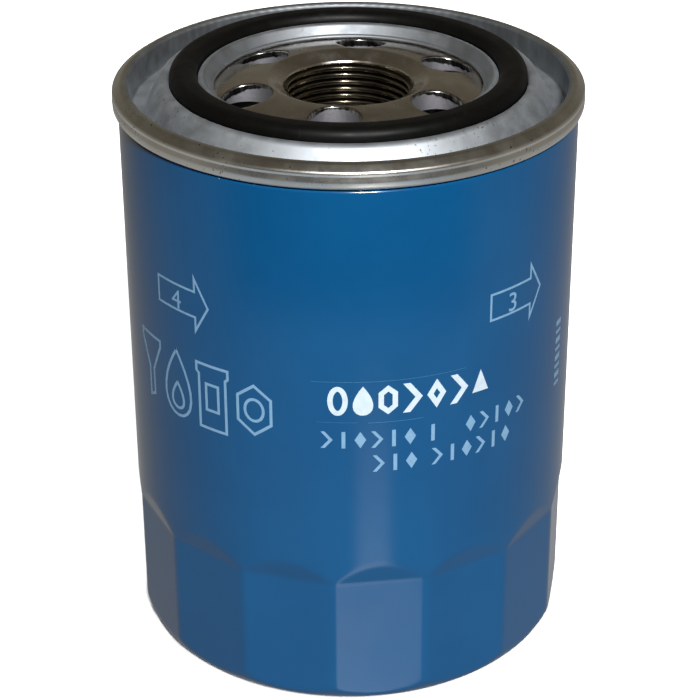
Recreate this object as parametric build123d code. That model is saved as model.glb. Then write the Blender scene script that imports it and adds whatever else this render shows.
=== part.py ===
from build123d import *
import math
import os

# Spin-on oil filter, open end up. Millimetres, +Z along the mounting thread, out of its mouth.
# The origin is at the centre of the closed end, on the ring that the filter stands on.

# ---- Canister: one drawn steel can ----
body_radius = 46.5
can_sheet = 0.5
edge_radius = 5.6
stand_ring_inner = 27.5
panel_radius = 23.0
panel_height = 2.4
flute_count = 15
flute_top = 30.5
flute_fade_top = 35.0
flute_angle = 7.6

# ---- Double seam between the can and the lid ----
lid_sheet = 0.65
seam_bottom = 117.6
seam_crest = 122.4
panel_line = 47.3
body_hook_line = 46.6
cover_hook_line = 45.9
can_wall_line = 45.2
chuck_wall_line = 44.525
can_hook_top = 120.75
can_shoulder = 117.0

# ---- Gasket and the groove that holds it ----
gasket_outer = 36.0
gasket_inner = 30.45
gasket_top = 125.0
groove_floor = 118.825
groove_outer_line = 36.45
groove_inner_line = 29.95
lid_mouth = 27.2

# ---- Base plate with the mounting thread, M26 x 1.5 ----
plate_outer = 39.0
plate_thickness = 3.6
margin_top = 118.1
crown_top = 122.15
thread_major = 13.0
thread_pitch = 1.5
thread_minor = 12.19
neck_outer = 15.8
neck_bottom = 109.8
mouth_top = 120.5
mouth_radius = 13.2
inlet_count = 6
inlet_radius = 5.1
inlet_circle = 21.9
inlet_angle = -7.0

# ---- Filter element ----
element_outer = 41.0
cap_sheet = 0.5
upper_cap_top = 107.6
lower_cap_bottom = 16.4
cap_rim = 3.2
potting = 1.2
pleat_count = 60
pleat_outer = 39.6
pleat_inner = 18.6
media_sheet = 0.5
tube_outer = 17.4
tube_sheet = 0.5
tube_holes_round = 10
tube_hole_rows = 8
tube_hole_radius = 2.6

# ---- Anti-drain valve ----
collar_outer = 17.5
flap_root = 17.85
flap_lip = 32.2

# ---- Bypass valve ----
port_radius = 6.0
valve_flange = 14.4
disc_radius = 9.2
stem_radius = 2.4
stem_clearance = 0.08
seat_top = 18.4
seal_thickness = 1.5
disc_thickness = 0.8
cage_top = 30.3
cage_sheet = 0.8
cage_outer = 11.3

os.makedirs("parts", exist_ok=True)


def revolved(face):
    """Turn a face drawn in the XZ plane once round the thread axis."""
    return revolve(Plane.XZ * face, Axis.Z, 360)


def ring(points):
    """A solid of revolution from the corners (radius, height) of its section."""
    return revolved(make_face(Polyline(*points, close=True)))


def sheet_section(points, radii, thickness):
    """A strip of sheet metal that follows a line of tangent arcs."""
    return trace(FilletPolyline(*points, radius=radii), thickness)


def turned(solid, radius, angle, height=0.0):
    """A copy at a radius, at an angle from the front (-Y) towards +X."""
    return Rot(0, 0, angle - 90) * Pos(radius, 0, height) * solid


def tube(outer, inner, bottom, top):
    return Pos(0, 0, bottom) * extrude(Circle(outer) - Circle(inner), top - bottom)


def coil(mean_radius, wire_radius, bottom, top, turns):
    """An open coil spring whose wire stays between two heights."""
    height = top - bottom - 2 * wire_radius
    path = Helix(pitch=height / turns, height=height, radius=mean_radius)
    section = Plane(origin=path @ 0, z_dir=path % 0) * Circle(wire_radius)
    return Pos(0, 0, bottom + wire_radius) * sweep(section, path=path, is_frenet=True)


# ---- Canister ----
def can_blank(inset):
    """The can's outside, or its inside when inset by the sheet, up to the shoulder."""
    wall = body_radius - inset
    centre = body_radius - edge_radius
    corner = edge_radius - inset
    diagonal = math.sqrt(0.5) * corner
    outline = [
        Line((0, panel_height + inset), (panel_radius, panel_height + inset)),
        Line((panel_radius, panel_height + inset), (stand_ring_inner, inset)),
        Line((stand_ring_inner, inset), (centre, inset)),
        ThreePointArc(
            (centre, inset),
            (centre + diagonal, edge_radius - diagonal),
            (wall, edge_radius),
        ),
        Line((wall, edge_radius), (wall, can_shoulder)),
        Line((wall, can_shoulder), (0, can_shoulder)),
        Line((0, can_shoulder), (0, panel_height + inset)),
    ]
    blank = revolved(make_face(Wire(outline)))
    apothem = body_radius * math.cos(math.pi / flute_count) - inset
    far = body_radius + 10
    fade = flute_fade_top + (far - body_radius) * (flute_fade_top - flute_top) / (
        wall - apothem
    )
    cut_face = make_face(
        Polyline(
            (apothem, -1), (far, -1), (far, fade), (apothem, flute_top), close=True
        )
    )
    cutter = extrude(Plane.XZ * cut_face, 12, both=True)
    for number in range(flute_count):
        blank -= Rot(0, 0, flute_angle - 90 + 360 / flute_count * number) * cutter
    return blank


def canister():
    shell = can_blank(0) - can_blank(can_sheet)
    wall_line = body_radius - can_sheet / 2
    hook = sheet_section(
        [
            (wall_line, can_shoulder - 4),
            (wall_line, can_shoulder),
            (can_wall_line, can_shoulder + 0.35),
            (can_wall_line, can_hook_top),
            (body_hook_line, can_hook_top),
            (body_hook_line, 118.9),
        ],
        [0.35, 0.35, 0.6, 0.6],
        can_sheet,
    )
    cap_room = Pos(0, 0, can_shoulder - 4) * extrude(Circle(body_radius + 1), 10)
    return (shell - cap_room) + revolved(hook)


# ---- Lid, seamed onto the can ----
def seaming_lid():
    floor_line = groove_floor - lid_sheet / 2
    lip_line = 122.35
    moat_line = 116.45
    bottom_line = seam_bottom + lid_sheet / 2
    top_line = seam_crest - lid_sheet / 2
    section = sheet_section(
        [
            (lid_mouth, 120.75),
            (28.0, 120.85),
            (29.05, 122.87),
            (groove_inner_line, 122.87),
            (groove_inner_line, floor_line),
            (groove_outer_line, floor_line),
            (groove_outer_line, lip_line),
            (37.7, lip_line),
            (41.1, moat_line),
            (chuck_wall_line, moat_line),
            (chuck_wall_line, top_line),
            (45.7, top_line),
            (panel_line, 121.0),
            (panel_line, bottom_line),
            (cover_hook_line, bottom_line),
            (cover_hook_line, 120.3),
        ],
        [0.6, 0.45, 0.44, 0.6, 0.6, 0.5, 1.2, 1.2, 0.8, 0.45, 1.0, 0.6, 0.65, 0.65],
        lid_sheet,
    )
    return revolved(section)


def seam_sealant():
    return ring([(45.0, 121.1), (46.2, 121.1), (45.6, 121.6), (45.0, 121.6)])


# ---- Gasket ----
def gasket():
    width = gasket_outer - gasket_inner
    height = gasket_top - groove_floor - 0.03
    middle = ((gasket_outer + gasket_inner) / 2, gasket_top - height / 2)
    section = Rectangle(width, height)
    top_corners = section.vertices().group_by(Axis.Y)[-1]
    section = fillet(top_corners, 2.0)
    low_corners = section.vertices().group_by(Axis.Y)[0]
    section = fillet(low_corners, 0.9)
    return revolved(Pos(*middle) * section)


# ---- Base plate ----
def base_plate():
    margin_bottom = margin_top - plate_thickness
    crown_bottom = crown_top - plate_thickness
    outline = [
        Line((thread_minor, neck_bottom + 0.9), (thread_minor, mouth_top - 1.0)),
        Line((thread_minor, mouth_top - 1.0), (mouth_radius, mouth_top)),
        ThreePointArc((mouth_radius, mouth_top), (14.4, 121.62), (17.0, crown_top)),
        ThreePointArc((17.0, crown_top), (22.8, 121.6), (28.0, 120.0)),
        Line((28.0, 120.0), (29.3, margin_top)),
        Line((29.3, margin_top), (plate_outer, margin_top)),
        Line((plate_outer, margin_top), (plate_outer, margin_bottom)),
        Line((plate_outer, margin_bottom), (29.6, margin_bottom)),
        Line((29.6, margin_bottom), (27.6, crown_bottom - 0.4)),
        Line((27.6, crown_bottom - 0.4), (neck_outer + 0.8, crown_bottom - 0.4)),
        Line((neck_outer + 0.8, crown_bottom - 0.4), (neck_outer, crown_bottom - 1.2)),
        Line((neck_outer, crown_bottom - 1.2), (neck_outer, neck_bottom)),
        Line((neck_outer, neck_bottom), (thread_major, neck_bottom)),
        Line((thread_major, neck_bottom), (thread_minor, neck_bottom + 0.9)),
    ]
    plate = revolved(make_face(Wire(outline)))
    hole = Pos(0, 0, crown_top - 6) * extrude(Circle(inlet_radius), 8)
    for number in range(inlet_count):
        plate -= turned(hole, inlet_circle, inlet_angle + 360 / inlet_count * number)
    return plate - thread_cutter()


def thread_cutter():
    """The screw thread's groove, a V swept along a helix from below the neck to its mouth."""
    start = neck_bottom - thread_pitch
    length = mouth_top - start + thread_pitch
    path = Helix(pitch=thread_pitch, height=length, radius=thread_minor)
    inside = 0.25
    half_root = 0.12
    half_mouth = 0.66
    groove = make_face(
        Polyline(
            (thread_minor - inside, -half_mouth - 0.05),
            (thread_major, -half_root),
            (thread_major, half_root),
            (thread_minor - inside, half_mouth + 0.05),
            close=True,
        )
    )
    return Pos(0, 0, start) * sweep(Plane.XZ * groove, path=path, is_frenet=True)


# ---- Anti-drain valve ----
def anti_drain_collar():
    return ring(
        [
            (14.0, upper_cap_top + 0.05),
            (collar_outer, upper_cap_top + 0.05),
            (collar_outer, 114.6),
            (neck_outer + 0.15, 114.6),
            (neck_outer + 0.15, neck_bottom - 0.1),
            (14.0, neck_bottom - 0.1),
        ]
    )


def anti_drain_flap():
    return ring(
        [
            (flap_root, 109.5),
            (flap_lip - 0.6, 112.9),
            (flap_lip, 113.3),
            (flap_lip, 114.35),
            (flap_lip - 1.0, 114.35),
            (flap_root, 110.9),
        ]
    )


# ---- Filter element ----
def end_cap(face, away, hole_radius):
    """A pressed end cap. face is its outer side's height, away is the way into the element."""
    inner_face = face + away * cap_sheet
    rim_end = face + away * cap_rim
    rim = element_outer - cap_sheet
    return ring(
        [
            (hole_radius, face),
            (element_outer, face),
            (element_outer, rim_end),
            (rim, rim_end),
            (rim, inner_face),
            (hole_radius, inner_face),
        ]
    )


def potting_disc(low, high):
    return tube(element_outer - cap_sheet - 0.05, tube_outer + 0.05, low, high)


def pleated_media():
    """Paper folded in and out round the centre tube, one closed zigzag."""
    pitch = 2 * math.pi / pleat_count
    outside = []
    inside = []
    for number in range(pleat_count):
        tip = number * pitch
        valley = tip + pitch / 2
        for side in (-1, 1):
            outside.append((pleat_outer, tip + side * 0.75 / pleat_outer))
            inside.append((pleat_outer - media_sheet, tip + side * 0.25 / pleat_outer))
        for side in (-1, 1):
            outside.append((pleat_inner + media_sheet, valley + side * 0.25 / pleat_inner))
            inside.append((pleat_inner, valley + side * 0.75 / pleat_inner))
    loops = []
    for path in (outside, inside):
        corners = [(r * math.cos(a), r * math.sin(a)) for r, a in path]
        loops.append(make_face(Polyline(*corners, close=True)))
    low = lower_cap_bottom + cap_sheet + potting + 0.05
    high = upper_cap_top - cap_sheet - potting - 0.05
    return Pos(0, 0, low) * extrude(loops[0] - loops[1], high - low)


def media_clip():
    """A folded steel strip that grips the pleat where the two ends of the paper meet."""
    low = lower_cap_bottom + cap_sheet + potting + 0.1
    high = upper_cap_top - cap_sheet - potting - 0.1
    outer = Rectangle(5.4, 2.6) - Pos(-0.3, 0) * Rectangle(4.9, 1.9)
    strip = extrude(outer, high - low)
    return turned(strip, pleat_outer - 2.05, 180, low)


def centre_tube():
    low = lower_cap_bottom + cap_sheet + 0.02
    high = upper_cap_top - cap_sheet - 0.02
    wall = tube(tube_outer, tube_outer - tube_sheet, low, high)
    hole = Rot(0, 90, 0) * Cylinder(tube_hole_radius, 6)
    rise = (high - low) / tube_hole_rows
    for row in range(tube_hole_rows):
        stagger = 0.5 * (row % 2)
        for number in range(tube_holes_round):
            angle = 360 / tube_holes_round * (number + stagger)
            wall -= turned(hole, tube_outer, angle, low + rise * (row + 0.5))
    return wall


# ---- Bypass valve, in the lower end cap ----
def bypass_seat():
    low = lower_cap_bottom + cap_sheet
    return ring(
        [
            (port_radius, low),
            (valve_flange, low),
            (valve_flange, low + 0.8),
            (port_radius + 1.2, low + 0.8),
            (port_radius + 0.8, seat_top),
            (port_radius, seat_top),
        ]
    )


def bypass_seal():
    low = seat_top + 0.05
    return tube(disc_radius - 0.4, 3.0, low, low + seal_thickness)


def bypass_disc():
    low = seat_top + 0.05 + seal_thickness
    plate = Pos(0, 0, low) * extrude(Circle(disc_radius), disc_thickness)
    stem = Pos(0, 0, low) * extrude(Circle(stem_radius), cage_top + 1.7 - low)
    return plate + stem


def bypass_cage():
    low = lower_cap_bottom + cap_sheet + 0.8
    shell = ring(
        [
            (stem_radius + stem_clearance, cage_top - cage_sheet),
            (stem_radius + stem_clearance, cage_top),
            (cage_outer, cage_top),
            (cage_outer, low + cage_sheet),
            (valve_flange, low + cage_sheet),
            (valve_flange, low),
            (cage_outer - cage_sheet, low),
            (cage_outer - cage_sheet, cage_top - cage_sheet),
        ]
    )
    window = Pos(0, 0, low + 2.2) * Box(8, 9, 6.5, align=(Align.CENTER, Align.CENTER, Align.MIN))
    for number in range(4):
        shell -= turned(window, cage_outer, 45 + 90 * number)
    return shell


def bypass_spring():
    low = seat_top + 0.05 + seal_thickness + disc_thickness
    return coil(6.8, 0.45, low + 0.02, cage_top - cage_sheet - 0.02, 4)


def element_spring():
    return coil(17.0, 0.9, panel_height + can_sheet + 0.02, lower_cap_bottom - 0.02, 3)


nodes = {
    "canister": canister,
    "seaming_lid": seaming_lid,
    "seam_sealant": seam_sealant,
    "gasket": gasket,
    "base_plate": base_plate,
    "anti_drain_collar": anti_drain_collar,
    "anti_drain_flap": anti_drain_flap,
    "upper_end_cap": lambda: end_cap(upper_cap_top, -1, 14.2),
    "lower_end_cap": lambda: end_cap(lower_cap_bottom, 1, 12.4),
    "upper_potting": lambda: potting_disc(
        upper_cap_top - cap_sheet - potting, upper_cap_top - cap_sheet
    ),
    "lower_potting": lambda: potting_disc(
        lower_cap_bottom + cap_sheet, lower_cap_bottom + cap_sheet + potting
    ),
    "pleated_media": pleated_media,
    "media_clip": media_clip,
    "centre_tube": centre_tube,
    "bypass_seat": bypass_seat,
    "bypass_seal": bypass_seal,
    "bypass_disc": bypass_disc,
    "bypass_cage": bypass_cage,
    "bypass_spring": bypass_spring,
    "element_spring": element_spring,
}

for name, make in nodes.items():
    solid = make()
    export_step(solid, f"parts/{name}.step")
    print(name, "volume", round(solid.volume, 1), "solids", len(solid.solids()))
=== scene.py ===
# %% [markdown]
# # A spin-on oil filter
# A drawn steel can holds a folded paper element. A zinc-coated lid is rolled onto
# the can in a double seam, with a rubber gasket in its groove and a thick tapped
# plate under it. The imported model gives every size. Here each visible part is made
# again with its rounded bends, punched edges, thread and finish.

# %% Load the frame
import math

import bmesh
import bpy
from mathutils import Matrix, Vector
from mathutils.bvhtree import BVHTree


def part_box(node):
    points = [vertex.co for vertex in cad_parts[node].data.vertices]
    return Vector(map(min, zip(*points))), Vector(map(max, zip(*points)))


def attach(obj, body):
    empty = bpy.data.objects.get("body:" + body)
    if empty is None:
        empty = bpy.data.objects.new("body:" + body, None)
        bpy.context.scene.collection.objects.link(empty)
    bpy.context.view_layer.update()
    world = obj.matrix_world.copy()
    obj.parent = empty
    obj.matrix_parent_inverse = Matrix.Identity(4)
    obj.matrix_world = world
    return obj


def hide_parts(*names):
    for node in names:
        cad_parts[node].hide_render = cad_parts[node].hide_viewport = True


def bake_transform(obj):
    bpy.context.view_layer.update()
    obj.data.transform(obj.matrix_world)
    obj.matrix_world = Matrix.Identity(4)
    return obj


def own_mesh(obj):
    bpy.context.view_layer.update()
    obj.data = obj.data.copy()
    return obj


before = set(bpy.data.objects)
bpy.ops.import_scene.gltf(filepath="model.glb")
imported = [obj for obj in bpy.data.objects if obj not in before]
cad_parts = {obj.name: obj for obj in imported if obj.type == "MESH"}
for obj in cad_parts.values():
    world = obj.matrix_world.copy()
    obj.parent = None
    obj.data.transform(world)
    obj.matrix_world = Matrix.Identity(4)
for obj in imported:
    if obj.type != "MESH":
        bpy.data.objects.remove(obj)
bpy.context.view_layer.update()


# %% [markdown]
# ## Units and boxes
# The frame is in metres, but sheet metal is easier to think about in millimetres,
# so the sizes below are millimetres times `MM`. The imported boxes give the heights
# and radii that the new pieces have to keep.

# %% Sizes from the frame
MM = 0.001
CAN_RADIUS = 46.5
for measured in ("canister", "seaming_lid", "gasket", "base_plate"):
    lowest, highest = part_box(measured)
    print(measured, "reaches", round(highest[0] / MM, 2), "mm out, from", round(lowest[2] / MM, 2),
          "to", round(highest[2] / MM, 2), "mm up")
gasket_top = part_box("gasket")[1][2]

# %% [markdown]
# ## Round parts from one section
# Nearly everything on a filter is pressed or moulded round one axis. A bent sheet or
# a moulded ring is quickest as a line in a plane that is spun once round the axis.
# Each corner of the line is rounded first with a vertex bevel, because a press tool
# never leaves a sharp bend: the bevel's offset is the length of the fillet's tangent.


# %% Rounded section lines
def section_line(bm, corners, closed=False, segments=6):
    """Draw corners (radius, height, fillet radius) in the plane y = 0 and round them."""
    points = [bm.verts.new((r * MM, 0, z * MM)) for r, z, _ in corners]
    pairs = list(zip(points, points[1:]))
    if closed:
        pairs.append((points[-1], points[0]))
    for start, end in pairs:
        bm.edges.new((start, end))
    turns = []
    for vert, corner in zip(points, corners):
        if len(vert.link_edges) == 2 and corner[2]:
            arms = [(e.other_vert(vert).co - vert.co) for e in vert.link_edges]
            turns.append((vert, corner[2] * math.tan((math.pi - arms[0].angle(arms[1])) / 2)))
    for vert, tangent in turns:
        bmesh.ops.bevel(
            bm, geom=[vert], offset=tangent * MM, offset_type="OFFSET",
            segments=segments, profile=0.5, affect="VERTICES", material=-1,
        )


def spin_round(bm, steps):
    """Turn everything in the bmesh once round the axis and close it."""
    bmesh.ops.spin(
        bm, geom=bm.verts[:] + bm.edges[:], cent=(0, 0, 0), axis=(0, 0, 1),
        angle=2 * math.pi, steps=steps, use_merge=True,
    )
    bmesh.ops.remove_doubles(bm, verts=bm.verts[:], dist=0.002 * MM)
    bmesh.ops.recalc_face_normals(bm, faces=bm.faces[:])


def coil_up(bm, turns, steps, climb):
    """Turn a section round the axis while it rises by climb a step, and cap its far end."""
    turned = bmesh.ops.spin(
        bm, geom=bm.verts[:] + bm.edges[:], cent=(0, 0, 0), axis=(0, 0, 1),
        dvec=(0, 0, climb * MM), angle=2 * math.pi * turns, steps=steps,
    )
    last_edges = [g for g in turned["geom_last"] if isinstance(g, bmesh.types.BMEdge)]
    bmesh.ops.contextual_create(bm, geom=last_edges)


def as_piece(bm, name, materials=(), smooth_angle=40):
    """Finish a bmesh as an object at the origin, smooth except at its real edges."""
    mesh = bpy.data.meshes.new(name)
    bm.to_mesh(mesh)
    bm.free()
    piece = bpy.data.objects.new(name, mesh)
    bpy.context.collection.objects.link(piece)
    for material in materials:
        mesh.materials.append(material)
    mesh.shade_smooth()
    mesh.set_sharp_from_angle(angle=math.radians(smooth_angle))
    print(name, len(mesh.vertices), "points", len(mesh.polygons), "faces")
    return piece


# %% [markdown]
# ## Finishes as nodes
# Every finish is one Principled shader with its constants on its own sockets and
# its variation in nodes on Object coordinates, so that it stays put on the part.
# Two helpers keep that short: one makes the shader, the other adds a node and
# fills its sockets with numbers or with the outputs of other nodes.


# %% Node helpers
def finish(name, metallic=0.0, roughness=0.5, **sockets):
    """A new material and its shader, with the same-all-over values on the sockets."""
    material = bpy.data.materials.new(name)
    material.use_nodes = True
    shader = material.node_tree.nodes["Principled BSDF"]
    shader.inputs["Metallic"].default_value = metallic
    shader.inputs["Roughness"].default_value = roughness
    for socket, value in sockets.items():
        shader.inputs[socket.replace("_", " ")].default_value = value
    print("finish", name)
    return material, shader


def node(material, kind, inputs=None, out=0, **settings):
    """Add one node and return its output socket."""
    made = material.node_tree.nodes.new("ShaderNode" + kind)
    for key, value in settings.items():
        setattr(made, key, value)
    for key, value in (inputs or {}).items():
        if isinstance(value, bpy.types.NodeSocket):
            material.node_tree.links.new(value, made.inputs[key])
        else:
            made.inputs[key].default_value = value
    return made.outputs[out]


def wire(material, output, shader, socket):
    """Lead a node's output into one of the shader's sockets."""
    material.node_tree.links.new(output, shader.inputs[socket])


def place(material, scale=(1, 1, 1)):
    """Object coordinates, stretched if asked."""
    point = node(material, "TexCoord", out="Object")
    return node(material, "Mapping", {"Vector": point, "Scale": scale})


def radius_of(material):
    """The distance from the filter's axis, in metres."""
    level = node(material, "VectorMath", {0: place(material), 1: (1, 1, 0)}, operation="MULTIPLY")
    return node(material, "VectorMath", {0: level}, out="Value", operation="LENGTH")


def noise(material, scale, detail=3.0, roughness=0.55, stretch=(1, 1, 1)):
    """Noise on Object coordinates; scale is how many features lie in a metre."""
    return node(
        material, "TexNoise",
        {"Vector": place(material, stretch), "Scale": scale, "Detail": detail,
         "Roughness": roughness},
    )


def math_of(material, operation, first, second=0.5, third=0.5):
    """One arithmetic node."""
    return node(material, "Math", {0: first, 1: second, 2: third}, operation=operation)


def span(material, value, low, high, to_low=0.0, to_high=1.0):
    """Map a range of a value smoothly to another range, clamped at both ends."""
    return node(
        material, "MapRange",
        {"Value": value, "From Min": low, "From Max": high, "To Min": to_low,
         "To Max": to_high},
        interpolation_type="SMOOTHSTEP",
    )


def blend_colours(material, amount, first, second):
    """Mix two colours, each a tuple or the output of another node."""
    made = material.node_tree.nodes.new("ShaderNodeMix")
    made.data_type = "RGBA"
    for key, value in (("Factor", amount), ("A", first), ("B", second)):
        socket = next(s for s in made.inputs if s.name == key and s.enabled)
        if isinstance(value, bpy.types.NodeSocket):
            material.node_tree.links.new(value, socket)
        else:
            socket.default_value = value
    return next(s for s in made.outputs if s.enabled)


def relief(material, shader, heights):
    """Chain bumps, each (height output, depth in millimetres)."""
    normal = None
    for height, depth in heights:
        inputs = {"Height": height, "Distance": depth * MM, "Strength": 1.0}
        if normal is not None:
            inputs["Normal"] = normal
        normal = node(material, "Bump", inputs)
    wire(material, normal, shader, "Normal")


def speckled(name, first, second, scale, metallic=0.0, rough=(0.4, 0.6), depth=0.01,
             stretch=(1, 1, 1), specular=0.5):
    """A finish that drifts between two colours, with the same noise in its relief."""
    material, shader = finish(name, metallic=metallic, Specular_IOR_Level=specular)
    drift = noise(material, scale, 4, 0.6, stretch)
    shade = span(material, drift, 0.3, 0.7)
    wire(material, blend_colours(material, shade, (*first, 1), (*second, 1)), shader, "Base Color")
    wire(material, span(material, drift, 0.3, 0.7, *rough), shader, "Roughness")
    relief(material, shader, [(drift, depth)])
    return material


# %% [markdown]
# ## Blue lacquer
# The can is coil-coated or sprayed before it is packed. The coat is glossy with a
# slight orange peel, a few rubbed patches, and small chips where the seaming
# rollers ran against it. Chips are a thresholded noise that is only let through in
# a narrow band below the seam and along the standing edge.

# %% Blue lacquer
lacquer, shader = finish("blue_lacquer", roughness=0.14)
deep_blue = (0.0006, 0.059, 0.166, 1)
light_blue = (0.0010, 0.065, 0.178, 1)
bare_steel = (0.55, 0.57, 0.58, 1)
cloud = noise(lacquer, 38, 4)
height = node(lacquer, "SeparateXYZ", {"Vector": place(lacquer)}, out="Z")
paint = blend_colours(lacquer, span(lacquer, cloud, 0.35, 0.65), deep_blue, light_blue)
flecks = noise(lacquer, 900, 2)
seam_band = span(lacquer, height, 115.0 * MM, 117.2 * MM)
foot_band = span(lacquer, height, 1.6 * MM, 0.1 * MM)
worn_band = math_of(lacquer, "MAXIMUM", seam_band, foot_band)
chip_level = math_of(lacquer, "MULTIPLY_ADD", worn_band, -0.13, 0.83)
chips = math_of(lacquer, "GREATER_THAN", flecks, chip_level)
wire(lacquer, blend_colours(lacquer, chips, paint, bare_steel), shader, "Base Color")
rubbed = noise(lacquer, 60, 4, 0.6)
wire(lacquer, span(lacquer, rubbed, 0.35, 0.75, 0.11, 0.17), shader, "Roughness")
peel = noise(lacquer, 380, 1)
relief(lacquer, shader, [(peel, 0.004), (math_of(lacquer, "SUBTRACT", 1.0, chips), 0.03)])
print("lacquer nodes", len(lacquer.node_tree.nodes))

# %% [markdown]
# ## The can
# One cup, drawn from a disc of sheet, with a recessed bottom that leaves a standing
# ring, and fifteen flats near the closed end for a cap wrench. It could be cut with
# planes, but the press leaves soft edges between flat and cylinder. So the outer
# skin is spun with close rows where the flats lie, and each point is drawn in to
# the nearest flat with a soft minimum. The sheet's thickness is added last.

# %% The can's flats
FLAT_COUNT = 15
FLAT_ANGLE = 7.6
FLAT_TOP = 30.5
FADE_TOP = 35.0
SOFTNESS = 0.1
flat_distance = CAN_RADIUS * math.cos(math.pi / FLAT_COUNT)
fade_slope = (CAN_RADIUS - flat_distance) / (FADE_TOP - FLAT_TOP)


def pressed_radius(radius, angle, height):
    """The wall's radius after the flats are pressed, softened where they meet it."""
    pitch = 2 * math.pi / FLAT_COUNT
    first = math.radians(FLAT_ANGLE - 90)
    off = (angle - first + pitch / 2) % pitch - pitch / 2
    plane = flat_distance + max(0.0, height - FLAT_TOP) * fade_slope
    gap = radius - plane / math.cos(off)
    return radius - 0.5 * (gap + math.sqrt(gap * gap + SOFTNESS * SOFTNESS))


# %% Spin the can's skin
bm = bmesh.new()
section_line(
    bm,
    [
        (0, 2.4, 0), (23.0, 2.4, 3.0), (27.5, 0, 3.0), (46.5, 0, 5.6), (46.5, 10.0, 0),
        (46.5, 36.5, 0), (46.5, 60, 0), (46.5, 117.0, 0.55), (45.45, 117.4, 0.3), (45.45, 120.4, 0),
    ],
    segments=10,
)
ROW_STEP = 0.62
STEPS_A_FLAT = 24
wall_rows = [
    e for e in bm.edges
    if min(v.co.x for v in e.verts) > (CAN_RADIUS - 0.1) * MM and e.calc_length() > 3 * MM
    and max(v.co.z for v in e.verts) < (FADE_TOP + 2) * MM
]
for edge in wall_rows:
    bmesh.ops.subdivide_edges(bm, edges=[edge], cuts=int(edge.calc_length() / (ROW_STEP * MM)))
spin_round(bm, FLAT_COUNT * STEPS_A_FLAT)
for vert in bm.verts:
    radius = math.hypot(vert.co.x, vert.co.y) / MM
    height_mm = vert.co.z / MM
    if radius > 40 and height_mm < FADE_TOP + 3:
        angle = math.atan2(vert.co.y, vert.co.x)
        pressed = pressed_radius(radius, angle, height_mm)
        vert.co.x *= pressed / radius
        vert.co.y *= pressed / radius
can = as_piece(bm, "painted_can", [lacquer], 60)
wall = can.modifiers.new("sheet", "SOLIDIFY")
wall.thickness = 0.5 * MM
wall.offset = -1
wall.use_even_offset = True
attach(can, "root")
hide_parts("canister")

# %% [markdown]
# ## Zinc coating
# The lid is galvanised sheet, which never mirrors cleanly: the coating has soft
# cloudy patches, fine rolling grain, dull spots where it was handled and dark
# specks. The rollers burnish the outside of the seam, so it is warmer, brighter and
# smoother than the well. The inner lip is darker. Painted shade darkens the seam's
# inner wall and the moat's outer corner below it, and the chuck leaves fine teeth on
# that wall. All of it follows the distance from the axis.

# %% Zinc coating
zinc, shader = finish("zinc_coating", metallic=1.0, roughness=0.45)
from_axis = radius_of(zinc)
rolled = span(zinc, from_axis, 44.6 * MM, 45.2 * MM)
clouds = noise(zinc, 90, 4, 0.6)
base = blend_colours(zinc, span(zinc, clouds, 0.3, 0.7), (0.395, 0.42, 0.445, 1),
                     (0.445, 0.472, 0.50, 1))
# Painted shade: the base colour is halved from the moat's outer corner up the seam's inner wall,
# where shadow falls between the wall and the slope.
painted_wall_shade = span(zinc, from_axis, 43.5 * MM, 44.1 * MM, 1.0, 0.5)
base = node(zinc, "VectorMath", {0: base, "Scale": painted_wall_shade}, operation="SCALE")
seam_tone = blend_colours(zinc, span(zinc, clouds, 0.3, 0.7), (0.66, 0.63, 0.56, 1),
                          (0.76, 0.74, 0.69, 1))
base = blend_colours(zinc, rolled, base, seam_tone)
inner_lip = span(zinc, from_axis, 29.6 * MM, 28.9 * MM, 1.0, 0.62)
base = node(zinc, "VectorMath", {0: base, "Scale": inner_lip}, operation="SCALE")
handled = span(zinc, noise(zinc, 45, 2), 0.45, 0.62, 0.80, 0.70)
specks = math_of(zinc, "GREATER_THAN", noise(zinc, 1500, 1), handled)
wire(zinc, blend_colours(zinc, specks, base, (0.20, 0.20, 0.19, 1)), shader, "Base Color")
satin = span(zinc, noise(zinc, 260, 4, 0.6), 0.3, 0.75, 0.56, 0.68)
burnish = span(zinc, noise(zinc, 200, 4, 0.6), 0.3, 0.75, 0.24, 0.34)
roughness = node(zinc, "MapRange", {"Value": rolled, "To Min": satin, "To Max": burnish})
wire(zinc, roughness, shader, "Roughness")
grain = noise(zinc, 1600, 3)
turn = node(zinc, "TexGradient", {"Vector": place(zinc)}, out="Fac", gradient_type="RADIAL")
teeth = math_of(zinc, "SINE", math_of(zinc, "MULTIPLY", turn, 2 * math.pi * 130))
inner_wall = math_of(
    zinc, "MULTIPLY", span(zinc, from_axis, 44.0 * MM, 44.15 * MM),
    span(zinc, from_axis, 44.5 * MM, 44.35 * MM),
)
chuck_marks = math_of(zinc, "MULTIPLY", teeth, inner_wall)
relief(zinc, shader, [(grain, 0.006), (chuck_marks, 0.02)])

# %% [markdown]
# ## The lid
# The lid is one sheet. From its mouth it rises to the gasket's inner lip, drops
# into the groove, comes up to the outer lip, slopes down to a moat, and climbs the
# wall of the seam, where it is rolled over the can's edge and hooked under it. Its
# middle line has sixteen bends, so it is drawn as that line and spun, and Solidify
# lays half of the sheet on each side.

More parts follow.
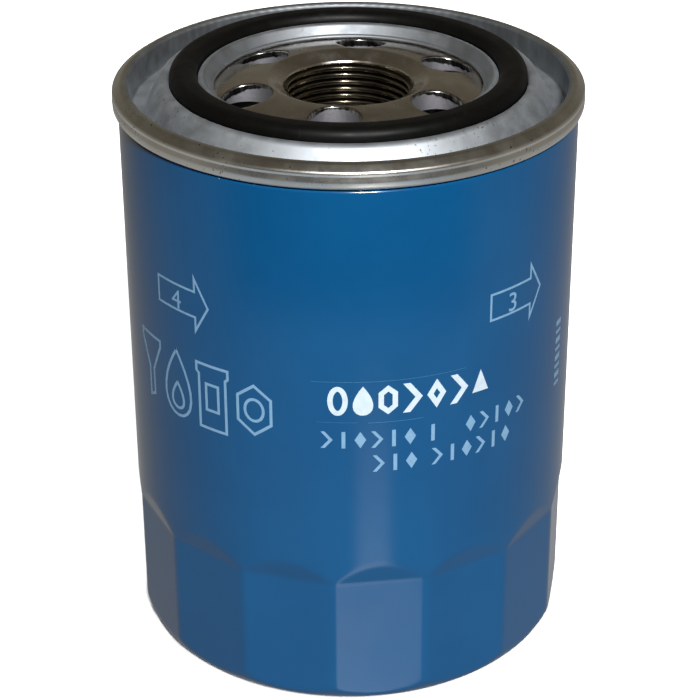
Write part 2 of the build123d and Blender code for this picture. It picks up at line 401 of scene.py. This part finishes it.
# %% The lid's sheet
bm = bmesh.new()
section_line(
    bm,
    [
        (27.2, 120.75, 0), (28.0, 120.85, 0.6), (29.05, 122.87, 0.45), (29.95, 122.87, 0.44),
        (29.95, 118.5, 0.6), (36.45, 118.5, 0.6), (36.45, 122.35, 0.5), (37.7, 122.35, 1.2),
        (41.1, 116.45, 1.2), (44.525, 116.45, 0.8), (44.525, 122.075, 0.45), (45.7, 122.075, 1.0),
        (47.3, 121.0, 0.42), (47.13, 120.35, 0.7), (47.3, 119.3, 2.2), (47.22, 117.925, 0.65),
        (45.9, 117.925, 0.65), (45.9, 120.3, 0),
    ],
    segments=6,
)
spin_round(bm, 256)
lid = as_piece(bm, "seamed_lid", [zinc], 50)
sheet = lid.modifiers.new("sheet", "SOLIDIFY")
sheet.thickness = 0.65 * MM
sheet.offset = 0
sheet.use_even_offset = True
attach(lid, "root")
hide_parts("seaming_lid")

# %% [markdown]
# ## Gasket rubber
# Nitrile rubber is nearly black and half matt. Its highlight is broad, moulding
# leaves a faint grain, and pale dust sits on it, so the colour and the roughness
# both get a little noise.

# %% Gasket rubber
rubber, shader = finish("gasket_rubber", roughness=0.5, Specular_IOR_Level=0.12)
dust = span(rubber, noise(rubber, 700, 6, 0.7), 0.55, 0.85)
wire(rubber, blend_colours(rubber, dust, (0.0018, 0.0017, 0.0015, 1), (0.010, 0.0095, 0.009, 1)),
     shader, "Base Color")
wire(rubber, span(rubber, noise(rubber, 240, 4), 0.3, 0.7, 0.40, 0.52), shader, "Roughness")
relief(rubber, shader, [(noise(rubber, 1500, 3), 0.008), (noise(rubber, 90, 2), 0.03)])

# %% [markdown]
# ## The gasket
# A moulded ring pushed into the groove. It is a rounded rectangle in section, with
# larger corners where it meets the engine, and stands 1.8 mm above the lips.

# %% The gasket's section
bm = bmesh.new()
section_line(
    bm,
    [(30.45, 118.86, 0.9), (36.0, 118.86, 0.9), (36.0, 125.0, 2.0), (30.45, 125.0, 2.0)],
    closed=True, segments=10,
)
spin_round(bm, 192)
gasket = as_piece(bm, "gasket_ring", [rubber], 60)
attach(gasket, "root")
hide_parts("gasket")

# %% [markdown]
# ## Burnished steel
# The tapped plate is thick cold-rolled steel, bright where the press tool rubbed it
# and brown-grey elsewhere. Its punched holes show the two zones of a shear cut: a
# smooth burnished band under the rounded entry, then a rough pale fracture. The
# border between them is ragged, so it is depth below the dome plus noise.

# %% Where the inlets lie
INLET_COUNT = 6
INLET_RADIUS = 5.1
INLET_CIRCLE = 21.9
INLET_ANGLE = -7.0
print(INLET_COUNT, "inlets on a circle of radius", INLET_CIRCLE)

# %% Burnished plate
steel, shader = finish("burnished_plate", metallic=1.0, roughness=0.22)
drift = noise(steel, 160, 5, 0.6)
base = blend_colours(steel, span(steel, drift, 0.3, 0.7), (0.66, 0.59, 0.52, 1),
                     (0.80, 0.75, 0.69, 1))
pits = math_of(steel, "GREATER_THAN", noise(steel, 1300, 2), 0.74)
wire(steel, blend_colours(steel, pits, base, (0.16, 0.14, 0.12, 1)), shader, "Base Color")
wire(steel, span(steel, noise(steel, 330, 4), 0.3, 0.75, 0.16, 0.30), shader, "Roughness")
relief(steel, shader, [(noise(steel, 900, 3), 0.004), (drift, 0.012)])

# %% Sheared hole wall
sheared, shader = finish("sheared_wall", metallic=1.0, roughness=0.3)
DOME_SLOPE = 0.27
dome_at_axis = 121.75 + DOME_SLOPE * INLET_CIRCLE
dome = math_of(sheared, "MULTIPLY_ADD", radius_of(sheared), -DOME_SLOPE, dome_at_axis * MM)
height = node(sheared, "SeparateXYZ", {"Vector": place(sheared)}, out="Z")
depth = math_of(sheared, "SUBTRACT", dome, height)
ragged = noise(sheared, 900, 5, 0.7, (1, 1, 0.25))
wander = math_of(sheared, "MULTIPLY_ADD", ragged, 1.6 * MM, 0.75 * MM)
torn = span(sheared, math_of(sheared, "SUBTRACT", depth, wander), -0.05 * MM, 0.10 * MM)
streaks = noise(sheared, 1500, 3, 0.6, (1, 1, 0.05))
rubbed_band = blend_colours(
    sheared, span(sheared, streaks, 0.35, 0.7), (0.13, 0.125, 0.12, 1), (0.62, 0.61, 0.58, 1)
)
wire(sheared, blend_colours(sheared, torn, rubbed_band, (0.27, 0.265, 0.285, 1)), shader,
     "Base Color")
wire(sheared, span(sheared, torn, 0.0, 1.0, 0.2, 0.62), shader, "Roughness")
grit = math_of(sheared, "MULTIPLY", noise(sheared, 1800, 4, 0.75), torn)
relief(sheared, shader, [(grit, 0.12), (streaks, 0.012), (torn, -0.05)])

# %% [markdown]
# ## The tapped plate
# A domed disc with a deep neck. The dome and the neck are one spun section. The six
# oil inlets are punched from above, so their upper edge is rolled in: each cutter
# is a spun plug with a flared shoulder, and its points are moved up or down to
# follow the dome under them, or the flare would bite on one side only.

# %% The plate's section
bm = bmesh.new()
section_line(
    bm,
    [
        (13.05, 109.8, 0.15), (15.8, 109.8, 0.5), (15.8, 118.15, 1.0), (27.4, 118.15, 0.9),
        (29.2, 114.5, 0.8), (39.0, 114.5, 0.4), (39.0, 118.1, 0.4), (29.5, 118.1, 0.7),
        (28.0, 120.0, 0.8), (20.5, 122.15, 28.0), (16.0, 122.15, 4.2), (13.25, 120.6, 0.12),
        (13.05, 120.25, 0.2),
    ],
    closed=True, segments=8,
)
spin_round(bm, 240)
dome_tree = BVHTree.FromBMesh(bm)
plate = as_piece(bm, "tapped_plate", [steel, sheared], 35)


def dome_height(x, y):
    """How high the dome stands over a point, in metres."""
    above = gasket_top + 75 * MM
    hit = dome_tree.ray_cast(Vector((x, y, above)), Vector((0, 0, -1)))[0]
    return hit.z if hit else 0.12


# %% Punch the oil inlets
ROLL_IN = 0.42
DRAWN_IN = 26.9
FLARE_FOOT = -5
PLUG_HEIGHT = 121.7
bm = bmesh.new()
for number in range(INLET_COUNT):
    plug = bmesh.new()
    section_line(
        plug,
        [
            (0, -9.5, 0), (INLET_RADIUS, -9.5, 0), (INLET_RADIUS, 0.02, ROLL_IN),
            (INLET_RADIUS + 0.9, 0.02, 0), (INLET_RADIUS + 0.9, 1.5, 0), (0, 1.5, 0),
        ],
        segments=6,
    )
    spin_round(plug, 64)
    turn = math.radians(INLET_ANGLE - 90 + 360 / INLET_COUNT * number)
    centre = Vector((math.cos(turn), math.sin(turn), 0)) * INLET_CIRCLE * MM
    for vert in plug.verts:
        vert.co += centre
        if vert.co.z > FLARE_FOOT * MM:
            reach = min(1.0, (DRAWN_IN * MM) / math.hypot(vert.co.x, vert.co.y))
            vert.co.z += dome_height(vert.co.x * reach, vert.co.y * reach)
        else:
            vert.co.z += PLUG_HEIGHT * MM
    plug_mesh = bpy.data.meshes.new("plug")
    plug.to_mesh(plug_mesh)
    plug.free()
    bm.from_mesh(plug_mesh)
    bpy.data.meshes.remove(plug_mesh)
for face in bm.faces:
    face.material_index = 1
punches = as_piece(bm, "inlet_punches", [steel, sheared])
punch = plate.modifiers.new("punch", "BOOLEAN")
punch.object = punches
punch.operation = "DIFFERENCE"
punch.solver = "EXACT"
punched = bpy.data.meshes.new_from_object(
    plate.evaluated_get(bpy.context.evaluated_depsgraph_get())
)
plate.modifiers.clear()
plate.data = punched
bpy.data.objects.remove(punches)
punched.set_sharp_from_angle(angle=math.radians(35))
print("punched plate", len(punched.polygons), "faces", [m.name for m in punched.materials])
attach(plate, "root")
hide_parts("base_plate")

# %% [markdown]
# ## The engine thread
# M26 x 1.5, cut in the neck. A spin with a rise at each step is a screw, so the
# thread is one ridge of metal, spun nearly seven times round while it climbs one
# pitch a turn. Its root lies inside the neck's wall, and its crest is held back by the
# countersink at each end, where a tap runs out.

# %% Cut thread finish
cut_thread, shader = finish("cut_thread", metallic=1.0, roughness=0.2)
# The flanks get a very dark brown base colour, and the crests, nearest the axis, get a light warm
# one.
dark_flank_tone = blend_colours(cut_thread, noise(cut_thread, 400, 3), (0.025, 0.020, 0.011, 1),
                     (0.06, 0.048, 0.03, 1))
light_crest_band = span(cut_thread, radius_of(cut_thread), 12.6 * MM, 12.25 * MM)
wire(cut_thread, blend_colours(cut_thread, light_crest_band, dark_flank_tone, (0.36, 0.32, 0.25, 1)), shader,
     "Base Color")
tooled = noise(cut_thread, 1500, 3, 0.6, (0.2, 0.2, 1))
wire(cut_thread, span(cut_thread, tooled, 0.3, 0.7, 0.14, 0.26), shader, "Roughness")
relief(cut_thread, shader, [(tooled, 0.004)])

# %% The thread's ridge
PITCH = 1.5
CREST = 12.19
TURNS = 6.75
RIDGE_FOOT = 110.0
RUN_OUT_FOOT, RUN_OUT_TOP = 110.9, 119.5
bm = bmesh.new()
section_line(
    bm, [(13.2, -0.69, 0), (CREST, -0.1, 0.09), (CREST, 0.1, 0.09), (13.2, 0.69, 0)],
    closed=True, segments=2,
)
bmesh.ops.translate(bm, verts=bm.verts[:], vec=(0, 0, RIDGE_FOOT * MM))
steps = int(TURNS * 96)
bmesh.ops.contextual_create(bm, geom=bm.edges[:])
coil_up(bm, TURNS, steps, PITCH * TURNS / steps)
for vert in bm.verts:
    radius = math.hypot(vert.co.x, vert.co.y) / MM
    z = vert.co.z / MM
    least = CREST + max(0.0, z - RUN_OUT_TOP) + max(0.0, RUN_OUT_FOOT - z) * 0.9
    if radius < least:
        vert.co.x *= least / radius
        vert.co.y *= least / radius
bmesh.ops.recalc_face_normals(bm, faces=bm.faces[:])
ridge = as_piece(bm, "engine_thread_ridge", [cut_thread], 30)
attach(ridge, "root")

# %% [markdown]
# ## Printed marks
# The can's marks are put on over the lacquer, so they are films a few hundredths of
# a millimetre thick and not part of the sheet. A picture texture would
# do it, but real shapes stay sharp at any size. Each mark is drawn flat, with u
# along the wall and v up it, cut into narrow strips and rolled round the can. The
# arrows and their numbers count quarter turns while the filter is tightened. The
# other marks are plain signs: a funnel, a drop, a can, a nut and rows of small shapes.
# There are two inks, a pale blue and a white, and both vary a little in strength.

# %% Ink
def ink(name, colour):
    """A printing ink, laid on a little unevenly."""
    material, shader = finish(name, roughness=0.3, Specular_IOR_Level=0.4)
    thin = span(material, noise(material, 600, 4, 0.7), 0.25, 0.6, 0.86, 1.0)
    faded = node(material, "VectorMath", {0: colour, "Scale": thin}, operation="SCALE")
    wire(material, faded, shader, "Base Color")
    gloss = span(material, noise(material, 300, 3), 0.3, 0.7, 0.24, 0.36)
    wire(material, gloss, shader, "Roughness")
    return material


pale_ink = ink("pale_blue_ink", (0.18, 0.33, 0.49))
white_ink = ink("white_ink", (0.53, 0.63, 0.70))
# Painted highlight: the ink for the lines where a clear film's edges catch the light.
painted_edge_highlight_ink = ink("painted_edge_highlight_ink", (0.045, 0.16, 0.30))

# %% [markdown]
# ## Drawing marks flat
# A few small functions give the corners of each kind of shape, and one lays them down
# as a face. An inset makes an outline of it. The last one rolls a sheet of marks on.

# %% Drawing marks flat
INK_LIFT = 0.012
INK_FILM = 0.02
STRIP = 1.2


def mark(bm, corners, stroke=0.0):
    """Lay down a flat shape with (u, v) corners; with a stroke only its border stays."""
    points = [bm.verts.new((u * MM, v * MM, 0)) for u, v in corners]
    face = bm.faces.new(points)
    face.normal_update()
    if stroke:
        bmesh.ops.inset_region(bm, faces=[face], thickness=stroke * MM, use_boundary=True,
                               use_even_offset=True)
        bmesh.ops.delete(bm, geom=[face], context="FACES_ONLY")


def polygon(u, v, width, height, sides, turn=0.0):
    """Corners of an even polygon, a disc when it has many sides."""
    angles = [math.radians(turn) + 2 * math.pi * k / sides for k in range(sides)]
    return [(u + width / 2 * math.cos(a), v + height / 2 * math.sin(a)) for a in angles]


def bar(u, v, width, height):
    return [(u - width / 2, v - height / 2), (u + width / 2, v - height / 2),
            (u + width / 2, v + height / 2), (u - width / 2, v + height / 2)]


def drop(u, v, width, height, points=22):
    """A drop with its tip up."""
    angles = [2 * math.pi * k / points for k in range(points)]
    return [(u - width / 1.54 * math.sin(a) * abs(math.sin(a / 2)), v + height / 2 * math.cos(a))
            for a in angles]


def chevron(u, v, width, height, thick):
    left, right, low, high = u - width / 2, u + width / 2, v - height / 2, v + height / 2
    return [(left, low), (left + thick, low), (right, v), (left + thick, high), (left, high),
            (right - thick, v)]


def numeral(bm, digit, u, v, height):
    """Set one digit of the built-in face, centred on (u, v)."""
    letters = bpy.data.curves.new("numeral", "FONT")
    letters.body = digit
    letters.resolution_u = 5
    holder = bpy.data.objects.new("numeral", letters)
    glyph = bpy.data.meshes.new_from_object(holder)
    xs = [p.co.x for p in glyph.vertices]
    ys = [p.co.y for p in glyph.vertices]
    grow = height * MM / (max(ys) - min(ys))
    middle = Vector(((max(xs) + min(xs)) / 2, (max(ys) + min(ys)) / 2, 0))
    glyph.transform(Matrix.Translation((u * MM, v * MM, 0)) @ Matrix.Scale(grow, 4)
                    @ Matrix.Translation(-middle))
    bm.from_mesh(glyph)
    bpy.data.meshes.remove(glyph)
    bpy.data.objects.remove(holder)


def roll_on(bm, name, material):
    """Cut the flat marks into strips, roll them on to the can and give them thickness."""
    bmesh.ops.remove_doubles(bm, verts=bm.verts[:], dist=0.003 * MM)
    cut = min(v.co.x for v in bm.verts) + STRIP * MM
    last = max(v.co.x for v in bm.verts)
    while cut < last:
        bmesh.ops.bisect_plane(bm, geom=bm.verts[:] + bm.edges[:] + bm.faces[:], dist=0.004 * MM,
                               plane_co=(cut, 0, 0), plane_no=(1, 0, 0))
        cut += STRIP * MM
    bmesh.ops.dissolve_degenerate(bm, edges=bm.edges[:], dist=0.003 * MM)
    film = bmesh.ops.extrude_face_region(bm, geom=bm.faces[:], use_keep_orig=True)["geom"]
    for vert in film:
        if isinstance(vert, bmesh.types.BMVert):
            vert.co.z = INK_FILM * MM
    for vert in bm.verts:
        turn = vert.co.x / (CAN_RADIUS * MM)
        radius = (CAN_RADIUS + INK_LIFT) * MM + vert.co.z
        vert.co = (radius * math.sin(turn), -radius * math.cos(turn), vert.co.y)
    bmesh.ops.recalc_face_normals(bm, faces=bm.faces[:])
    piece = as_piece(bm, name, [material])
    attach(piece, "root")
    return piece


# %% [markdown]
# ## Quarter-turn arrows
# Four outlined arrows a quarter turn apart, each with its number. The numbers are set
# from the built-in face and turned into a mesh before they are placed.

# %% Quarter-turn arrows
QUARTER = CAN_RADIUS * math.pi / 2
ARROW_V = 88.6
FIRST_TAIL = -44.0
SHAFT, BARB = 3, 6.5
bm = bmesh.new()
for quarter, digit in enumerate("4321"):
    tail = FIRST_TAIL + quarter * QUARTER
    neck, tip = tail + 11.1, tail + 15.0
    mark(bm, [(tail, ARROW_V - SHAFT), (neck, ARROW_V - SHAFT), (neck, ARROW_V - BARB),
              (tip, ARROW_V), (neck, ARROW_V + BARB), (neck, ARROW_V + SHAFT),
              (tail, ARROW_V + SHAFT)], 0.48)
    numeral(bm, digit, tail + 6.0, ARROW_V - 0.4, 4.0)
roll_on(bm, "turn_arrows", pale_ink)

# %% [markdown]
# ## Outlined signs
# Large signs in line only: a funnel, a drop in a drop, a can with its label and a nut
# with its bore. Each is one flat shape with its middle inset away.

# %% Outlined signs
bm = bmesh.new()
STROKE = 0.6
mark(bm, [(-52.6, 76.4), (-52.6, 74.6), (-49.6, 68.6), (-49.6, 61.6), (-47.2, 62.8), (-47.2, 68.6),
          (-44.2, 74.6), (-44.2, 76.4)], STROKE)
mark(bm, drop(-38.8, 69.2, 8.6, 15.6), STROKE)
mark(bm, drop(-38.8, 66.4, 4.2, 6.6), STROKE)
mark(bm, [(-32.6, 61.6), (-25.4, 61.6), (-25.4, 73.6), (-24.8, 74.2), (-24.8, 76.4), (-33.2, 76.4),
          (-33.2, 74.2), (-32.6, 73.6)], STROKE)
mark(bm, bar(-29.0, 69.0, 3.6, 6.4), STROKE)
mark(bm, polygon(-19.3, 69.0, 9.0, 11.6, 6, 30), STROKE)
mark(bm, polygon(-19.3, 69.0, 4.6, 5.4, 28), STROKE)
roll_on(bm, "outlined_signs", pale_ink)

# %% [markdown]
# ## White signs
# Seven bold shapes in a row at one pitch. They are filled or thickly outlined, so
# they read as solid from a distance.

# %% White signs
bm = bmesh.new()
WHITE_V, WIDE, TALL = 73.1, 4.0, 6.4
FIRST_WHITE, WHITE_PITCH = -2.4, 4.92
places = [FIRST_WHITE + WHITE_PITCH * k for k in range(7)]
mark(bm, polygon(places[0], WHITE_V, WIDE, TALL, 28), 1.05)
mark(bm, drop(places[1], WHITE_V, WIDE, TALL))
mark(bm, polygon(places[2], WHITE_V, WIDE + 0.4, TALL, 6, 30), 1.05)
mark(bm, chevron(places[3], WHITE_V, WIDE, TALL, 1.5))
mark(bm, polygon(places[4], WHITE_V, WIDE, TALL, 4), 1.1)
mark(bm, chevron(places[5], WHITE_V, WIDE, TALL, 1.5))
mark(bm, polygon(places[6], WHITE_V - 0.4, WIDE + 0.4, TALL, 3, 90))
roll_on(bm, "white_signs", white_ink)

# %% [markdown]
# ## Small signs
# Two rows of chevrons, bars and diamonds, in groups with gaps between them, and a
# column of dashes further round the can. Loops place them at an even pitch.

# %% Small bars and diamonds
SMALL_PITCH = 3.3
SMALL_TALL = 3.7
DASH_U, DASH_FOOT = 53.8, 62.0
bm = bmesh.new()
for middle_v, groups in ((64.45, ((-4.6, 6), (16.6, 1), (25.0, 5))), (59.0, ((5.6, 3), (17.6, 6)))):
    for first_u, count in groups:
        for k in range(count):
            u = first_u + SMALL_PITCH * k
            kind = (k + count) % 3
            if kind == 0:
                mark(bm, chevron(u, middle_v, 2.4, SMALL_TALL, 0.8))
            elif kind == 1:
                mark(bm, bar(u, middle_v, 0.75, SMALL_TALL))
            else:
                mark(bm, polygon(u, middle_v, 2.3, SMALL_TALL, 4))
for k in range(8):
    mark(bm, bar(DASH_U, DASH_FOOT + 2.0 * k, 2.6, 0.7 + 0.5 * (k % 2)))
roll_on(bm, "small_signs", pale_ink)

# %% [markdown]
# ## Painted highlights on film edges
# A clear film lies over the white signs, and only its edges catch the light. That
# caught light is painted on as hair-thin lines of a blue a little paler than the lacquer.

# %% Painted highlights along the clear film's edges
bm = bmesh.new()
mark(bm, bar(8.0, 77.25, 31.0, 0.07))
mark(bm, bar(9.0, 68.2, 11.0, 0.08))
mark(bm, bar(-2.5, 68.35, 8.0, 0.04))
roll_on(bm, "painted_edge_highlights", painted_edge_highlight_ink)

# %% [markdown]
# ## The anti-drain diaphragm
# A moulded rubber skirt under the inlets. Its collar, which is kept from the packed
# model, grips the plate's neck, and its lip lies under the plate's rim until oil
# pushes it down. One spun section makes the skirt, with a bead along the lip.

# %% The diaphragm
valve_rubber = speckled("valve_rubber", (0.003, 0.003, 0.003), (0.009, 0.009, 0.009), 300,
                        rough=(0.5, 0.65), specular=0.15)
bm = bmesh.new()
section_line(
    bm,
    [
        (17.45, 109.5, 0.2), (24.5, 110.95, 6.0), (31.5, 112.95, 0.8), (32.15, 113.4, 0.3),
        (32.15, 114.3, 0.35), (31.3, 114.3, 0.3), (30.9, 113.75, 0.5), (24.2, 112.25, 6.0),
        (17.45, 110.8, 0.2),
    ],
    closed=True, segments=6,
)
spin_round(bm, 160)
diaphragm = as_piece(bm, "drain_diaphragm", [valve_rubber], 50)
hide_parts("anti_drain_flap")
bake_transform(diaphragm)

# %% [markdown]
# ## Inside the can
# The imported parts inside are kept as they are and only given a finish. Folded paper
# is fibrous and warm, the tube and the springs are bright steel with a drawn grain,
# the caps are duller pressed steel, the potting and the seam compound are satin
# plastics, and the valve rubber is nearly black, since it shows under the inlets.

# %% Finishes for the inside
paper = speckled("folded_paper", (0.66, 0.52, 0.30), (0.78, 0.65, 0.42), 700, rough=(0.8, 0.95),
                 depth=0.02, stretch=(1, 1, 0.3))
drawn_steel = speckled("drawn_steel", (0.50, 0.50, 0.49), (0.64, 0.63, 0.62), 500, 1.0,
                       (0.24, 0.36), 0.004, (1, 1, 0.15))
cap_sheet = speckled("cap_sheet", (0.42, 0.43, 0.43), (0.54, 0.55, 0.54), 160, 1.0, (0.34, 0.5))
spring_wire = speckled("spring_wire", (0.36, 0.36, 0.37), (0.52, 0.52, 0.53), 600, 1.0,
                       (0.22, 0.36), 0.006)
potting = speckled("potting", (0.55, 0.50, 0.38), (0.64, 0.58, 0.46), 220, rough=(0.35, 0.55),
                   depth=0.03)
compound = speckled("seam_compound", (0.10, 0.11, 0.10), (0.16, 0.17, 0.16), 300)
INSIDE = {
    "seam_sealant": compound, "anti_drain_collar": valve_rubber,
    "upper_end_cap": cap_sheet, "lower_end_cap": cap_sheet, "upper_potting": potting,
    "lower_potting": potting, "pleated_media": paper, "media_clip": drawn_steel,
    "centre_tube": drawn_steel, "bypass_seat": cap_sheet, "bypass_seal": valve_rubber,
    "bypass_disc": drawn_steel, "bypass_cage": cap_sheet, "element_spring": spring_wire,
}
for part_name, material in INSIDE.items():
    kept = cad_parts[part_name]
    kept.data.materials.clear()
    kept.data.materials.append(material)
print("finished inside parts:", len(INSIDE), "of", len(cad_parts), "nodes")

# %% [markdown]
# ## The relief valve's spring
# Four turns of wire between the valve's disc and the top of its cage. A ring of wire
# turned round the axis while it climbs gives the coil, as a spring coiler does. When
# the disc lifts, the spring is pressed together towards the cage.

# %% The relief spring
SPRING_LOW, SPRING_HIGH = 20.77, 29.48
WIRE, COIL, SPRING_TURNS = 0.45, 6.8, 4
bm = bmesh.new()
wire_ring = bmesh.ops.create_circle(bm, segments=14, radius=WIRE * MM, cap_ends=True)["verts"]
bmesh.ops.rotate(bm, verts=wire_ring, cent=(0, 0, 0), matrix=Matrix.Rotation(math.pi / 2, 3, "X"))
bmesh.ops.translate(bm, verts=wire_ring, vec=(COIL * MM, 0, (SPRING_LOW + WIRE) * MM))
steps = SPRING_TURNS * 48
coil_up(bm, SPRING_TURNS, steps, (SPRING_HIGH - SPRING_LOW - 2 * WIRE) / steps)
bmesh.ops.recalc_face_normals(bm, faces=bm.faces[:])
spring = as_piece(bm, "relief_spring", [spring_wire])
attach(spring, "root")
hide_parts("bypass_spring")
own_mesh(spring)

# %% [markdown]
# ## The camera and the floor
# A longish lens looks down at the filter from in front. The floor is pale and takes
# the shadows. It is left out of reflections, since the room has a table of its own.

# %% Camera
camera = bpy.data.objects.new("camera", bpy.data.cameras.new("camera"))
camera.data.sensor_width = 36
camera.data.lens = 111.05
print("field of view", round(math.degrees(camera.data.angle), 2), "degrees")
camera.matrix_world = (
    Matrix.Translation((0.00006, -0.41029, 0.27620))
    @ Matrix.Rotation(math.radians(62.19), 4, "X")
    @ Matrix.Rotation(math.radians(-0.27), 4, "Z")
)
bpy.context.collection.objects.link(camera)
bpy.context.scene.camera = camera

# %% Floor
floor_material, shader = finish("pale_floor", roughness=0.9)
tone = span(floor_material, noise(floor_material, 3, 2), 0.3, 0.7)
wire(floor_material, blend_colours(floor_material, tone, (0.86, 0.86, 0.86, 1), (0.9, 0.9, 0.9, 1)),
     shader, "Base Color")
bm = bmesh.new()
bmesh.ops.create_grid(bm, x_segments=2, y_segments=2, size=4.0)
floor = as_piece(bm, "floor", [floor_material])
floor.visible_glossy = False
floor.visible_diffuse = False


# %% [markdown]
# ## Lights
# One softbox stands in front, a little to the right, and a larger one fills the back
# without being mirrored in the metal.

# %% Lights
MIDDLE = Vector((0, 0, 0.07))


def softbox(name, position, side, power, glossy=True):
    """A square light of that side, aimed at the middle of the filter."""
    light = bpy.data.lights.new(name, "AREA")
    light.shape = "RECTANGLE"
    light.size = light.size_y = side
    light.energy = power
    box = bpy.data.objects.new(name, light)
    box.location = position
    box.rotation_euler = (MIDDLE - Vector(position)).to_track_quat("-Z", "Y").to_euler()
    box.visible_glossy = glossy
    bpy.context.collection.objects.link(box)


def around(azimuth, elevation, distance):
    """A position seen from the filter: azimuth from the front towards +X, in degrees."""
    turn, rise = math.radians(azimuth), math.radians(elevation)
    level = distance * math.cos(rise)
    return (level * math.sin(turn), -level * math.cos(turn), distance * math.sin(rise))


softbox("key", around(9, 38, 3.0), 0.4, 165)
softbox("back_fill", around(180, 42, 3.0), 1.5, 150, glossy=False)

# %% [markdown]
# ## The room
# Gloss and bare metal show what stands around them. A ramp from below to above gives
# the walls, a table fills the lower front, and a bright card low on the right makes
# the streak on the lacquer. Only glossy rays see them. The camera sees plain white,
# and diffuse rays get a faint grey that is stronger on the right.

# %% The room that the gloss and the bare metal reflect
world = bpy.data.worlds.new("studio")
bpy.context.scene.world = world
world.use_nodes = True
world.node_tree.nodes.clear()
direction = node(world, "TexCoord", out="Generated")
split = node(world, "SeparateXYZ", {"Vector": direction}).node
across, along, up = split.outputs
ramp = node(world, "ValToRGB", {"Fac": math_of(world, "MULTIPLY_ADD", up, 0.5, 0.5)}).node
ramp_stops = [
    (0.0, (0.40, 0.40, 0.40)), (0.28, (0.35, 0.35, 0.35)), (0.36, (0.22, 0.215, 0.20)),
    (0.52, (0.20, 0.19, 0.17)),
    (0.64, (0.13, 0.12, 0.095)), (0.78, (0.08, 0.072, 0.055)), (1.0, (0.06, 0.054, 0.042)),
]
for place_on_ramp, tint in ramp_stops[1:-1]:
    ramp.color_ramp.elements.new(place_on_ramp)
for stop, (place_on_ramp, tint) in zip(ramp.color_ramp.elements, ramp_stops):
    stop.position = place_on_ramp
    stop.color = (*tint, 1)
table = blend_colours(world, span(world, up, -0.410, -0.425), (0.08, 0.08, 0.08, 1),
                      (0.40, 0.48, 0.58, 1))
in_front = math_of(world, "MULTIPLY", span(world, along, -0.25, -0.65), span(world, up, 0.25, 0.0))
room = blend_colours(world, in_front, ramp.outputs["Color"], table)
bearing = math_of(world, "ARCTAN2", across, math_of(world, "MULTIPLY", along, -1.0))
CARD_BEARING = math.radians(12)
CARD_LIGHT = (1.9, 1.9, 1.9, 1)
aside = math_of(world, "ABSOLUTE", math_of(world, "SUBTRACT", bearing, CARD_BEARING))
card_height = math_of(world, "MULTIPLY", span(world, up, -0.44, -0.62),
                      span(world, up, -0.84, -0.70))
card = math_of(world, "MULTIPLY", span(world, aside, math.radians(13), math.radians(4)),
               card_height)
lit = blend_colours(world, card, room, CARD_LIGHT)
glossy_ray = node(world, "LightPath", out="Is Glossy Ray")
dim = blend_colours(world, span(world, across, -0.9, 0.7), (0.010, 0.010, 0.010, 1),
                    (0.036, 0.036, 0.036, 1))
lit = blend_colours(world, glossy_ray, dim, lit)
seen = node(world, "Background", {"Color": (1, 1, 1, 1)})
reflected = node(world, "Background", {"Color": lit})
camera_ray = node(world, "LightPath", out="Is Camera Ray")
both = node(world, "MixShader", {0: camera_ray, 1: reflected, 2: seen})
surface = world.node_tree.nodes.new("ShaderNodeOutputWorld")
world.node_tree.links.new(both, surface.inputs["Surface"])
bpy.context.scene.view_settings.view_transform = "Standard"
print("world nodes", len(world.node_tree.nodes))
